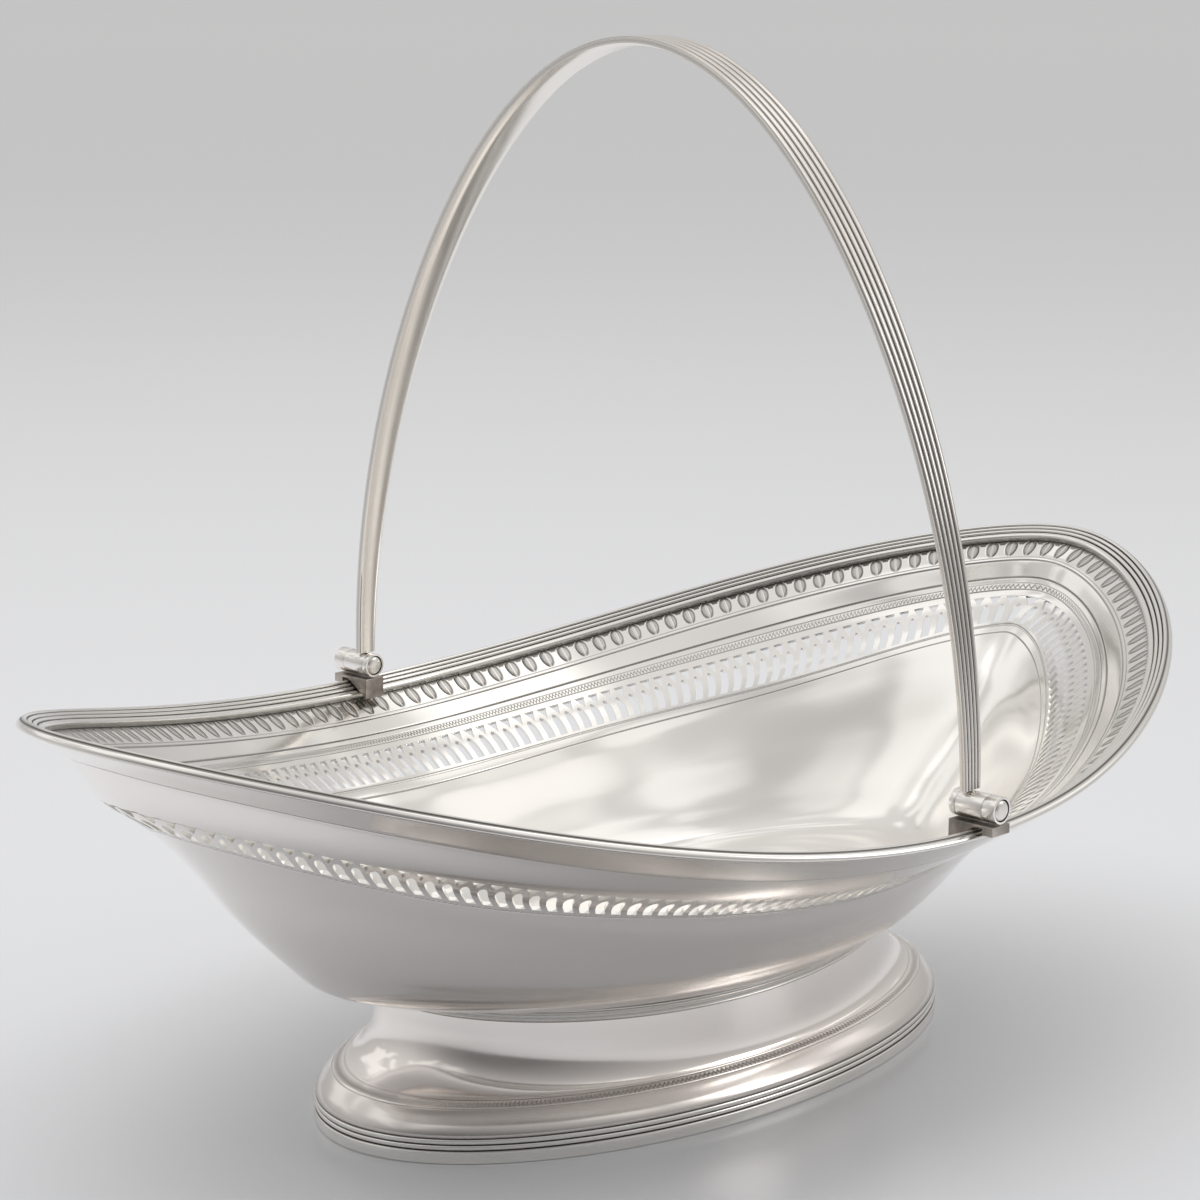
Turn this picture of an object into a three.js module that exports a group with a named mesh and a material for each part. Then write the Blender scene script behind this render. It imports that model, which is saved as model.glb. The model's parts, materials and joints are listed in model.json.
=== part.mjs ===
// An oval pedestal basket in sheet silver with a reeded rim and one reeded swing handle.
// Millimetres, +Z up. The origin is the centre of the foot's underside, X runs along the long
// axis of the bowl and Y runs along the hinge line, from one side of the rim to the other.
import * as THREE from "three";

// Driving dimensions: bowl
const bowlLength = 356; // between the upper edges of the rim, tip to tip
const bowlWidth = 216.6; // between the upper edges of the rim, side to side
const rimHeightAtHinge = 80.4; // top of the rim above the table, at the middle of each side
const rimRise = 33.6; // how much higher the rim stands at the two tips
const sheetThickness = 1.1;
const lipWidth = 11.5; // the lip turns outward by this much, measured level
const lipDrop = 7.3; // and falls by this much, from the rim edge in to the top of the wall
const bandTopInsetAtSide = 10; // upper edge of the pierced band, in from the top of the wall
const bandTopDropAtSide = 6; // and down from it, at the middle of each side
const bandTopInsetAtEnd = 5;
const bandTopDropAtEnd = 9.6;
const bandBottomInsetAtSide = 19.8; // lower edge of the pierced band, measured the same way
const bandBottomDropAtSide = 12.2;
const bandBottomInsetAtEnd = 14;
const bandBottomDropAtEnd = 16.2;
const bowlPierceCount = 184; // arched slots round the wall; a multiple of four

// Driving dimensions: rim moulding
const rimMouldingWidth = 6.2;
const rimMouldingHeight = 1.7;
const rimReedDepth = 0.55;
const rimReedCount = 4;

// Driving dimensions: foot
const footLength = 197.6;
const footWidth = 109;
const footHeight = 30.8; // table to the underside of the bowl, at the middle of each side
const neckRise = 3.4; // the top of the foot stands this much higher at the two ends
const footBandHeight = 2.3;
const footReedHeight = 3.8;
const footReedDepth = 0.45;
const footReedCount = 3;
const footReedInset = 0.1; // the reeds stand this far inside the plain band below them
const footRingDepth = 3.2; // how far the two base rings reach inward
const neckInsetAtSide = 8.7; // the neck stands this far inside the base rings
const neckInsetAtEnd = 18.4;
const collarHeight = 3.2;
const collarProudAtTop = 1.2; // the collar spreads from the neck up to the bowl
const collarProudAtFoot = 0.4;
const collarDepth = 2.4;

// Driving dimensions: hinges
const barrelRadius = 3.2;
const pinRadius = 2.35;
const barrelSetback = 8.5; // from the rim's edge in to the barrel's inner end
const innerKnuckleLength = 1.4;
const handleKnuckleLength = 7.4;
const outerKnuckleLength = 3.3;
const barrelAboveRim = 4.2; // hinge line above the rim edge
const pinProud = 0.4; // the pin shows this much past the barrel at each end
const saddleBelowRim = 1.6; // the saddle laps down the outside of the rim by this much

// Driving dimensions: handle
const handleRise = 169.4; // hinge line to the middle of the strap at the crown
const strapWidthAtCrown = 11.7;
const strapWidthAtHinge = 5.4;
const strapThickness = 2.5;
const strapReedDepth = 0.5;
const strapSetback = 0.4; // from the inner end of the handle's knuckle out to the strap
const strapReedCount = 5;

// Fits
const seatGap = 0.3; // between pieces that rest on or are soldered to each other
const runningGap = 0.3; // between the handle's knuckle and the parts it turns in

// Facets round each curved piece
const rimFacets = 80;
const footFacets = 60;
const strapFacets = 44;
const barrelFacets = 20;

// Worked out from the driving dimensions
const halfLength = bowlLength / 2;
const halfWidth = bowlWidth / 2;
const lipLength = Math.hypot(lipWidth, lipDrop);
const hingeHeight = rimHeightAtHinge + barrelAboveRim;
const boreRadius = pinRadius + runningGap;
const barrelInnerEnd = halfWidth - barrelSetback; // distances from the long axis
const handleKnuckleStart = barrelInnerEnd + innerKnuckleLength + runningGap;
const outerKnuckleStart = handleKnuckleStart + handleKnuckleLength + runningGap;
const barrelOuterEnd = outerKnuckleStart + outerKnuckleLength;
const legDistance = handleKnuckleStart + strapSetback + strapThickness / 2;

// The two edges of the pierced band, as steps inward and down from the top of the wall, first
// at the middle of a side and then at an end of the bowl.
const bandTopSteps = [
  [bandTopInsetAtSide, bandTopDropAtSide],
  [bandTopInsetAtEnd, bandTopDropAtEnd],
];
const bandBottomSteps = [
  [bandBottomInsetAtSide, bandBottomDropAtSide],
  [bandBottomInsetAtEnd, bandBottomDropAtEnd],
];

// The plain wall between the neck (0) and the band (1): share of the height, then share of the
// reach at a side and at an end.
const lowerWallShares = [
  [0.08, 0.202, 0.306],
  [0.24, 0.372, 0.449],
  [0.5, 0.587, 0.646],
  [0.78, 0.828, 0.824],
];

// The spool's outer face from the base rings (0, 0) to the neck (1, 1): a narrow flange and
// then a hollow sweep. First the share of the neck's inset, then the share of the height.
const spoolShares = [
  [0.04, 0],
  [0.2, 0.03],
  [0.46, 0.05],
  [0.68, 0.125],
  [0.83, 0.24],
  [0.94, 0.37],
  [1, 0.56],
  [1, 1],
];
const flangeRows = 2; // the spool is solid down to the base rings under these

// One arched slot, as shares of its cell: flat foot, straight sides, pointed head.
const slotOutline = [
  [0.2, 0.1],
  [0.8, 0.1],
  [0.8, 0.58],
  [0.5, 0.92],
  [0.2, 0.58],
];

// Materials

function silver(colour, roughness) {
  return new THREE.MeshStandardMaterial({ color: colour, metalness: 1, roughness });
}

const polishedSilver = silver(0xd9d6cf, 0.18);
const reededSilver = silver(0xc4c0b8, 0.28);
const pinSilver = silver(0xaaa69e, 0.34);

// Plan curves and the rim

// An oval whose ends are drawn in a little, so that they come nearer to a point.
function rimPlan(angle) {
  const c2 = Math.cos(angle) ** 2;
  const drawnIn = 1 - 0.14 * c2 - 0.133 * c2 ** 4;
  return new THREE.Vector2(
    halfLength * Math.cos(angle),
    halfWidth * Math.sin(angle) * drawnIn,
  );
}

function rimOutward(angle) {
  const step = 1e-3;
  const along = rimPlan(angle + step).sub(rimPlan(angle - step)).normalize();
  return new THREE.Vector2(along.y, -along.x);
}

function rimHeight(angle) {
  const s2 = Math.cos(angle) ** 2;
  return rimHeightAtHinge + rimRise * s2 * (1 + 0.235 * (1 - s2));
}

// The lip's upper face: share 0 at the top of the wall and 1 at the rim edge, lifted by a height.
function lipPoint(angle, share, lift) {
  const plan = rimPlan(angle);
  const out = rimOutward(angle);
  const inward = lipWidth * (1 - share) + (lift * lipDrop) / lipLength;
  const down = lipDrop * (1 - share) - (lift * lipWidth) / lipLength;
  return new THREE.Vector3(
    plan.x - out.x * inward,
    plan.y - out.y * inward,
    rimHeight(angle) - rimMouldingHeight - down,
  );
}

// A point of the foot: a share of the way from the base rings (0) in to the neck (1), then
// further in by an inset, at a height.
function footPoint(angle, neckShare, inset, height) {
  return new THREE.Vector3(
    (footLength / 2 - neckInsetAtEnd * neckShare - inset) * Math.cos(angle),
    (footWidth / 2 - neckInsetAtSide * neckShare - inset) * Math.sin(angle),
    height,
  );
}

// The underside of the bowl where it meets the foot.
function seatHeight(angle) {
  return footHeight + neckRise * Math.cos(angle) ** 2;
}

// A value that is one thing at the middle of a side and another at an end.
function sideToEnd(angle, atSide, atEnd) {
  return atSide + (atEnd - atSide) * Math.cos(angle) ** 2;
}

// A point of the wall's inner face, in and down from the top of the wall.
function bandPoint(angle, [[sideIn, sideDown], [endIn, endDown]]) {
  const out = rimOutward(angle);
  const inward = sideToEnd(angle, sideIn, endIn);
  const top = lipPoint(angle, 0, 0);
  return new THREE.Vector3(
    top.x - out.x * inward,
    top.y - out.y * inward,
    top.z - sideToEnd(angle, sideDown, endDown),
  );
}

// A point of the wall's inner face between the neck and the pierced band.
function lowerWallPoint(angle, [heightShare, sideReach, endReach]) {
  const neckHeight = seatHeight(angle) + sheetThickness;
  const neck = footPoint(angle, 1, sheetThickness - collarProudAtTop, neckHeight);
  const band = bandPoint(angle, bandBottomSteps);
  const reach = sideToEnd(angle, sideReach, endReach);
  return new THREE.Vector3(
    neck.x + (band.x - neck.x) * reach,
    neck.y + (band.y - neck.y) * reach,
    neck.z + (band.z - neck.z) * heightShare,
  );
}

// The bowl's inner face, as rows from the neck up to the rim.
const bowlRows = [
  (angle) => lowerWallPoint(angle, [0, 0, 0]),
  ...lowerWallShares.map((shares) => (angle) => lowerWallPoint(angle, shares)),
  (angle) => bandPoint(angle, bandBottomSteps),
  (angle) => bandPoint(angle, bandTopSteps),
  (angle) => lipPoint(angle, 0, 0),
  (angle) => lipPoint(angle, 0.5, 0),
  (angle) => lipPoint(angle, 1, 0),
];
const pierceBottomRow = lowerWallShares.length + 1;
const pierceTopRow = pierceBottomRow + 1;

// Mesh helpers

class MeshBuilder {
  constructor() {
    this.positions = [];
    this.faces = [];
  }

  point(v) {
    this.positions.push(v.x, v.y, v.z);
    return this.positions.length / 3 - 1;
  }

  triangle(a, b, c) {
    this.faces.push(a, b, c);
  }

  quad(a, b, c, d) {
    this.triangle(a, b, c);
    this.triangle(a, c, d);
  }

  geometry() {
    const built = new THREE.BufferGeometry();
    built.setAttribute("position", new THREE.Float32BufferAttribute(this.positions, 3));
    built.setIndex(this.faces);
    built.computeVertexNormals();
    return built;
  }
}

// A ring of constant topology: section(angle) gives a closed loop of points, counter-clockwise
// in the plane of (outward, up).
function ringGeometry(angles, section) {
  const mesh = new MeshBuilder();
  const loops = angles.map((angle) => section(angle).map((p) => mesh.point(p)));
  loops.forEach((loop, i) => {
    const next = loops[(i + 1) % loops.length];
    loop.forEach((corner, k) => {
      const k1 = (k + 1) % loop.length;
      mesh.quad(corner, next[k], next[k1], loop[k1]);
    });
  });
  return mesh.geometry();
}

function evenAngles(count) {
  return Array.from({ length: count }, (_, i) => (2 * Math.PI * i) / count);
}

// Angles that cut a closed curve into equal lengths, starting on the long axis.
function equalLengthAngles(count, curve) {
  const fine = 4096;
  const lengths = [0];
  for (let i = 1; i <= fine; i += 1) {
    const step = curve((2 * Math.PI * i) / fine).distanceTo(curve((2 * Math.PI * (i - 1)) / fine));
    lengths.push(lengths[i - 1] + step);
  }
  const angles = [];
  let i = 0;
  for (let n = 0; n < count; n += 1) {
    const wanted = (lengths[fine] * n) / count;
    while (lengths[i + 1] < wanted) i += 1;
    const part = (wanted - lengths[i]) / (lengths[i + 1] - lengths[i]);
    angles.push((2 * Math.PI * (i + part)) / fine);
  }
  return angles;
}

// A row of small round reeds across a width, as [position, height] from one edge to the other.
function reedRow(width, crest, depth, count) {
  const pitch = width / count;
  const row = [];
  for (let i = 0; i < count; i += 1) {
    row.push([i * pitch, crest - depth]);
    row.push([(i + 0.5) * pitch, crest]);
  }
  row.push([width, crest - depth]);
  return row;
}

// Bowl

function thickened(inner, around, along) {
  const normal = new THREE.Vector3().crossVectors(around, along).normalize();
  return inner.clone().addScaledVector(normal, sheetThickness);
}

// Both skins of the bowl along one row, at every column.
function bowlSkins(angles, index) {
  const step = 1e-3;
  const row = bowlRows[index];
  const rowBelow = bowlRows[Math.max(index - 1, 0)];
  const rowAbove = bowlRows[Math.min(index + 1, bowlRows.length - 1)];
  return angles.map((angle) => {
    const here = row(angle);
    const around = row(angle + step).sub(row(angle - step));
    const along = rowAbove(angle).sub(rowBelow(angle));
    const seat = footPoint(angle, 1, -collarProudAtTop, seatHeight(angle));
    return { inner: here, outer: index === 0 ? seat : thickened(here, around, along) };
  });
}

// Faces between two rows; a row may hold twice as many points as its neighbour.
function fillRows(mesh, lower, upper) {
  const count = Math.min(lower.length, upper.length);
  const lowerStep = lower.length / count;
  const upperStep = upper.length / count;
  const at = (row, i) => row[i % row.length];
  for (let i = 0; i < count; i += 1) {
    const a = at(lower, i * lowerStep);
    const b = at(lower, (i + 1) * lowerStep);
    const c = at(upper, (i + 1) * upperStep);
    const d = at(upper, i * upperStep);
    if (lowerStep === upperStep) {
      mesh.quad(a, b, c, d);
    } else if (upperStep === 2) {
      const mid = at(upper, i * 2 + 1);
      mesh.triangle(a, b, mid);
      mesh.triangle(a, mid, d);
      mesh.triangle(b, c, mid);
    } else {
      const mid = at(lower, i * 2 + 1);
      mesh.triangle(a, mid, d);
      mesh.triangle(mid, c, d);
      mesh.triangle(mid, b, c);
    }
  }
}

function capRow(mesh, row, centre, opening) {
  row.forEach((corner, i) => {
    const next = row[(i + 1) % row.length];
    if (opening) mesh.triangle(centre, next, corner);
    else mesh.triangle(corner, next, centre);
  });
}

// One pierced cell: both skins with the slot cut out, and the slot's own walls.
function piercedCell(mesh, outer, inner) {
  const square = [
    [0, 0],
    [1, 0],
    [1, 1],
    [0, 1],
  ];
  const shares = [...square, ...slotOutline];
  const flat = (list) => list.map(([s, t]) => new THREE.Vector2(s, t));
  const corners = (skin) => skin.map((i) => new THREE.Vector3().fromArray(mesh.positions, 3 * i));
  const between = (quad, [s, t]) => {
    const low = quad[0].clone().lerp(quad[1], s);
    const high = quad[3].clone().lerp(quad[2], s);
    return low.lerp(high, t);
  };
  const slot = (skin) => slotOutline.map((p) => mesh.point(between(corners(skin), p)));
  const outerPoints = [...outer, ...slot(outer)];
  const innerPoints = [...inner, ...slot(inner)];
  const faces = THREE.ShapeUtils.triangulateShape(flat(square), [flat(slotOutline)]);
  for (const [a, b, c] of faces) {
    const [pa, pb, pc] = [shares[a], shares[b], shares[c]];
    const turn = (pb[0] - pa[0]) * (pc[1] - pa[1]) - (pb[1] - pa[1]) * (pc[0] - pa[0]);
    const [x, y] = turn > 0 ? [b, c] : [c, b];
    mesh.triangle(outerPoints[a], outerPoints[x], outerPoints[y]);
    mesh.triangle(innerPoints[a], innerPoints[y], innerPoints[x]);
  }
  for (let i = 0; i < slotOutline.length; i += 1) {
    const a = square.length + i;
    const b = square.length + ((i + 1) % slotOutline.length);
    mesh.quad(outerPoints[a], outerPoints[b], innerPoints[b], innerPoints[a]);
  }
}

function bowlGeometry() {
  const mesh = new MeshBuilder();
  const last = bowlRows.length - 1;
  const fine = equalLengthAngles(bowlPierceCount, bowlRows[pierceBottomRow]);
  const coarse = fine.filter((_, i) => i % 2 === 0);
  const outer = [];
  const inner = [];
  for (let row = 0; row <= last; row += 1) {
    const pierced = row === pierceBottomRow || row === pierceTopRow;
    const skins = bowlSkins(pierced ? fine : coarse, row);
    outer.push(skins.map((s) => mesh.point(s.outer)));
    inner.push(skins.map((s) => mesh.point(s.inner)));
  }
  for (let row = 0; row < last; row += 1) {
    if (row === pierceBottomRow) {
      for (let i = 0; i < bowlPierceCount; i += 1) {
        const j = (i + 1) % bowlPierceCount;
        const cell = (skin) => [skin[row][i], skin[row][j], skin[row + 1][j], skin[row + 1][i]];
        piercedCell(mesh, cell(outer), cell(inner));
      }
    } else {
      fillRows(mesh, outer[row], outer[row + 1]);
      fillRows(mesh, inner[row + 1], inner[row]);
    }
  }
  fillRows(mesh, outer[last], inner[last]);
  const floor = footHeight + sheetThickness;
  capRow(mesh, outer[0], mesh.point(new THREE.Vector3(0, 0, footHeight)), true);
  capRow(mesh, inner[0], mesh.point(new THREE.Vector3(0, 0, floor)), false);
  return mesh.geometry();
}

// Rim moulding: reeds on the outer part of the lip's upper face

function rimMouldingGeometry() {
  const start = 1 - rimMouldingWidth / lipLength;
  const reeds = reedRow(rimMouldingWidth, rimMouldingHeight, rimReedDepth, rimReedCount);
  return ringGeometry(evenAngles(rimFacets), (angle) => [
    lipPoint(angle, start, seatGap),
    lipPoint(angle, 1, seatGap),
    ...reeds
      .map(([across, lift]) => lipPoint(angle, start + across / lipLength, lift))
      .reverse(),
  ]);
}

// Foot: plain band, reeded ring, spool and collar, one standing on another

// A ring of the foot; section(angle) lists [neck share, inset, height], counter-clockwise.
function footRing(section) {
  return ringGeometry(evenAngles(footFacets), (angle) =>
    section(angle).map(([share, inset, height]) => footPoint(angle, share, inset, height)),
  );
}

function footBandGeometry() {
  return footRing(() => [
    [0, 0, 0],
    [0, 0, footBandHeight],
    [0, footRingDepth, footBandHeight],
    [0, footRingDepth, 0],
  ]);
}

function footMouldingGeometry() {
  const bottom = footBandHeight + seatGap;
  const reeds = reedRow(footReedHeight, footReedDepth, footReedDepth, footReedCount);
  return footRing(() => [
    ...reeds.map(([up, out]) => [0, footReedInset + footReedDepth - out, bottom + up]),
    [0, footRingDepth, bottom + footReedHeight],
    [0, footRingDepth, bottom],
  ]);
}

function footSpoolGeometry() {
  const base = footBandHeight + footReedHeight + 2 * seatGap;
  const last = spoolShares.length - 1;
  return footRing((angle) => {
    const top = seatHeight(angle) - collarHeight - 2 * seatGap;
    const reach = sideToEnd(angle, neckInsetAtSide, neckInsetAtEnd);
    const outside = spoolShares.map(([share, up]) => [share, base + (top - base) * up]);
    const inside = outside.map(([share, height], i) => {
      const [shareBefore, heightBefore] = outside[Math.max(i - 1, 0)];
      const [shareAfter, heightAfter] = outside[Math.min(i + 1, last)];
      const across = (shareAfter - shareBefore) * reach;
      const along = new THREE.Vector2(across, heightAfter - heightBefore).normalize();
      const dropped = i === last ? top : Math.max(height - along.x * sheetThickness, base);
      return [share, along.y * sheetThickness, dropped];
    });
    const hollow = inside.slice(flangeRows).reverse();
    return [...outside.map(([share, height]) => [share, 0, height]), ...hollow];
  });
}

// The collar spreads from the neck to the bowl in a shallow hollow between two small fillets.
function footCollarGeometry() {
  const fillet = collarHeight / 6;
  return footRing((angle) => {
    const top = seatHeight(angle) - seatGap;
    const bottom = top - collarHeight;
    return [
      [1, -collarProudAtFoot, bottom],
      [1, -collarProudAtFoot, bottom + fillet],
      [1, -collarProudAtFoot / 2, bottom + 2 * fillet],
      [1, -collarProudAtTop * 0.6, top - 2 * fillet],
      [1, -collarProudAtTop, top - fillet],
      [1, -collarProudAtTop, top],
      [1, collarDepth - collarProudAtTop, top],
      [1, collarDepth - collarProudAtTop, bottom],
    ];
  });
}

// Hinges: everything is drawn for the side at -Y and turned round Z for the other

// A turned shape about the hinge line; the outline is radius and place along the line.
function turned(outline) {
  const points = outline.map(([radius, along]) => new THREE.Vector2(radius, along));
  return new THREE.LatheGeometry(points, barrelFacets).translate(0, 0, hingeHeight);
}

function barrelTube(start, length) {
  const chamfer = 0.25;
  const near = -start;
  const far = -(start + length);
  const loop = [
    [boreRadius, far],
    [barrelRadius - chamfer, far],
    [barrelRadius, far + chamfer],
    [barrelRadius, near - chamfer],
    [barrelRadius - chamfer, near],
    [boreRadius, near],
    [boreRadius, far],
  ];
  return turned(loop);
}

function pinGeometry() {
  const dome = 0.35;
  const outerEnd = -(barrelOuterEnd + pinProud);
  const innerEnd = -(barrelInnerEnd - pinProud);
  const outline = [
    [0, outerEnd],
    [pinRadius - dome, outerEnd],
    [pinRadius, outerEnd + dome],
    [pinRadius, innerEnd - dome],
    [pinRadius - dome, innerEnd],
    [0, innerEnd],
  ];
  return turned(outline);
}

// The saddle straddles the rim: its underside follows the moulding and laps the rim's outer edge.
function saddleGeometry() {
  const side = -Math.PI / 2;
  const lift = rimMouldingHeight + seatGap;
  const rimTop = lipPoint(side, 1, lift);
  const clearOfEdge = halfWidth + sheetThickness;
  const slope = lipDrop / lipWidth;
  const top = hingeHeight - barrelRadius - runningGap;
  const outside = barrelOuterEnd;
  const distanceIn = -rimTop.y - barrelInnerEnd;
  const outline = [
    [-barrelInnerEnd, top],
    [-outside, top],
    [-outside, rimHeightAtHinge - saddleBelowRim],
    [-clearOfEdge, rimHeightAtHinge - saddleBelowRim],
    [-clearOfEdge, rimTop.z],
    [rimTop.y, rimTop.z],
    [-barrelInnerEnd, rimTop.z - distanceIn * slope],
  ];
  const shape = new THREE.Shape(outline.map(([y, z]) => new THREE.Vector2(y, z)));
  const block = new THREE.ExtrudeGeometry(shape, { depth: 2 * barrelRadius, bevelEnabled: false });
  block.translate(0, 0, -barrelRadius);
  const yzToWorld = new THREE.Matrix4().makeBasis(
    new THREE.Vector3(0, 1, 0),
    new THREE.Vector3(0, 0, 1),
    new THREE.Vector3(1, 0, 0),
  );
  return block.applyMatrix4(yzToWorld);
}

// Handle: a flat strap bent to an arch in the plane of the hinge line

function archPoint(turn) {
  const rise = handleRise * Math.sin(turn) * (1 - 0.12 * Math.cos(turn) ** 2);
  return new THREE.Vector3(0, -legDistance * Math.cos(turn), hingeHeight + rise);
}

function strapSection(width) {
  const half = width / 2;
  const bevel = 0.6;
  const crest = strapThickness / 2;
  const reeds = reedRow(width, crest, strapReedDepth, strapReedCount);
  return [
    [-half, -crest + bevel],
    [-half + bevel, -crest],
    [half - bevel, -crest],
    [half, -crest + bevel],
    ...reeds.map(([across, out]) => [half - across, out]),
  ];
}

function handleBowGeometry() {
  const steps = strapFacets;
  const footRise = barrelRadius + seatGap;
  const start = Math.asin(footRise / (handleRise * (1 - 0.12)));
  const mesh = new MeshBuilder();
  const across = new THREE.Vector3(1, 0, 0);
  const loops = [];
  for (let i = 0; i <= steps; i += 1) {
    const turn = start + ((Math.PI - 2 * start) * i) / steps;
    const along = archPoint(turn + 1e-3).sub(archPoint(turn - 1e-3)).normalize();
    const out = new THREE.Vector3().crossVectors(across, along);
    const width = strapWidthAtHinge + (strapWidthAtCrown - strapWidthAtHinge) * Math.sin(turn);
    loops.push(
      strapSection(width).map(([a, b]) =>
        mesh.point(archPoint(turn).addScaledVector(across, a).addScaledVector(out, b)),
      ),
    );
  }
  const count = loops[0].length;
  for (let i = 0; i < steps; i += 1) {
    for (let k = 0; k < count; k += 1) {
      const k1 = (k + 1) % count;
      mesh.quad(loops[i][k], loops[i + 1][k], loops[i + 1][k1], loops[i][k1]);
    }
  }
  const outline = strapSection(strapWidthAtHinge).map(([a, b]) => new THREE.Vector2(a, b));
  for (const [a, b, c] of THREE.ShapeUtils.triangulateShape(outline, [])) {
    mesh.triangle(loops[0][a], loops[0][b], loops[0][c]);
    mesh.triangle(loops[steps][a], loops[steps][c], loops[steps][b]);
  }
  return mesh.geometry();
}

// Assembly

const basket = new THREE.Group();

function place(name, geometry, material, halfTurn = false) {
  const piece = new THREE.Mesh(geometry, material);
  piece.name = name;
  if (halfTurn) piece.rotation.z = Math.PI;
  basket.add(piece);
}

place("bowl", bowlGeometry(), polishedSilver);
place("rim_moulding", rimMouldingGeometry(), reededSilver);
place("foot_band", footBandGeometry(), polishedSilver);
place("foot_moulding", footMouldingGeometry(), reededSilver);
place("foot_spool", footSpoolGeometry(), polishedSilver);
place("foot_collar", footCollarGeometry(), polishedSilver);
place("handle_bow", handleBowGeometry(), reededSilver);

for (const [side, halfTurn] of [["front", false], ["back", true]]) {
  const piece = (name, geometry, material) => place(name, geometry, material, halfTurn);
  piece("hinge_saddle_" + side, saddleGeometry(), polishedSilver);
  piece(
    "hinge_inner_knuckle_" + side,
    barrelTube(barrelInnerEnd, innerKnuckleLength),
    polishedSilver,
  );
  piece(
    "hinge_outer_knuckle_" + side,
    barrelTube(outerKnuckleStart, outerKnuckleLength),
    polishedSilver,
  );
  piece("hinge_pin_" + side, pinGeometry(), pinSilver);
  piece(
    "handle_knuckle_" + side,
    barrelTube(handleKnuckleStart, handleKnuckleLength),
    polishedSilver,
  );
}

export default basket;
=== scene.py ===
# %% [markdown]
# # A pierced silver basket on a pedestal foot
#
# This lesson builds the look of an oval silver basket with a swing handle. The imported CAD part
# is the fixed frame: it says where each piece is and what turns. Blender adds what a CAD part
# leaves out: smooth curves, engraved lines, tarnish in the grooves, and light.
# Lengths are in metres, Z is up, X runs along the bowl and Y along the hinge line.

import json
import math

import bmesh
import bpy
import numpy as np
from mathutils import Matrix, Vector
from mathutils.geometry import tessellate_polygon

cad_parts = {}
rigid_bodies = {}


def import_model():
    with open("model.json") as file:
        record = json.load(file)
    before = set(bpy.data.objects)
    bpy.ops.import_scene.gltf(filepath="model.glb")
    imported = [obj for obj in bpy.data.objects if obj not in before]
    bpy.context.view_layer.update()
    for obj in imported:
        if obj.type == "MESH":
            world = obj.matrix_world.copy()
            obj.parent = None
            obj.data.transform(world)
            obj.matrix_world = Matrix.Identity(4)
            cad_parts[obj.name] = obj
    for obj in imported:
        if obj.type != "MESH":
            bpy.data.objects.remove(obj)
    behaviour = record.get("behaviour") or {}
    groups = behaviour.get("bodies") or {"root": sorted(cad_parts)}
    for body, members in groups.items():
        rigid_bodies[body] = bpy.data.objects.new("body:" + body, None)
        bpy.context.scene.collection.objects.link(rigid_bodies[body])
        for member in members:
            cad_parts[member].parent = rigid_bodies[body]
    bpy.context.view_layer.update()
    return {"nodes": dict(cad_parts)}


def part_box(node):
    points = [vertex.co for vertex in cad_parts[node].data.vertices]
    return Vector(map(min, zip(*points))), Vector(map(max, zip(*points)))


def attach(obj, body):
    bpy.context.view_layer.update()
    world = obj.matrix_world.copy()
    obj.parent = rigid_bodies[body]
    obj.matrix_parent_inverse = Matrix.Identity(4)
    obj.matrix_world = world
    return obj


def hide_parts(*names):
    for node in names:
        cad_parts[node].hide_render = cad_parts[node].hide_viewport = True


for old in list(bpy.data.objects):
    bpy.data.objects.remove(old)
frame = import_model()

# %% [markdown]
# ## Sizes
#
# These are the sizes of the real piece in millimetres. Everything below is computed from
# them, so a change here moves every piece that touches it.

# %% Sizes
MM = 0.001
HALF_LENGTH, HALF_WIDTH = 178.0, 108.3
RIM_AT_HINGE, RIM_RISE = 80.4, 33.6
SHEET = 1.0
LIP_RUN, LIP_DROP = 11.5, 7.3
LIP_LENGTH = math.hypot(LIP_RUN, LIP_DROP)
MOULDING_WIDTH, MOULDING_HEIGHT = 6.2, 1.7
FOOT_HALF_LENGTH, FOOT_HALF_WIDTH, FOOT_HEIGHT = 98.8, 54.5, 30.8
NECK_INSET_AT_SIDE, NECK_INSET_AT_END, NECK_RISE = 8.7, 18.4, 3.4
COLLAR_PROUD = 1.2
SLOTS = 184
COLUMNS_PER_SLOT = 3
COLUMNS = SLOTS * COLUMNS_PER_SLOT
HINGE_HEIGHT, BARREL_RADIUS = 84.6, 3.2


# %% [markdown]
# ## Curves of the bowl
#
# The plan of the rim is an oval drawn in at its ends, x = A cos t, y = B sin t (1 - 0.14 c
# - 0.133 c^4) with c = cos^2 t. The rim climbs from the hinges to the tips. Each level of the
# wall is a step inward and down from the top of the wall, and the steps change smoothly from
# the sides to the ends. All functions take whole arrays of angles.

# %% Curves of the bowl
def rim_plan(t):
    """Plan of the rim edge: (A cos t, B sin t (1 - 0.14 cos^2 t - 0.133 cos^8 t))."""
    c2 = np.cos(t) ** 2
    return np.stack(
        [HALF_LENGTH * np.cos(t), HALF_WIDTH * np.sin(t) * (1 - 0.14 * c2 - 0.133 * c2**4)], -1
    )


def rim_outward(t):
    """Unit normal of the plan curve, its tangent turned a quarter turn to the outside."""
    along = rim_plan(t + 1e-3) - rim_plan(t - 1e-3)
    along /= np.linalg.norm(along, axis=-1, keepdims=True)
    return np.stack([along[..., 1], -along[..., 0]], -1)


def rim_height(t):
    """Height of the rim: z0 + rise s (1 + 0.235 (1 - s)) with s = cos^2 t."""
    s2 = np.cos(t) ** 2
    return RIM_AT_HINGE + RIM_RISE * s2 * (1 + 0.235 * (1 - s2))


def step_in(t, inward, down):
    """The rim edge moved inward along its normal and down, in millimetres."""
    plan = rim_plan(t) - rim_outward(t) * np.asarray(inward)[..., None]
    height = rim_height(t) - MOULDING_HEIGHT - down
    return np.concatenate([plan, height[..., None]], -1)


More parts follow.
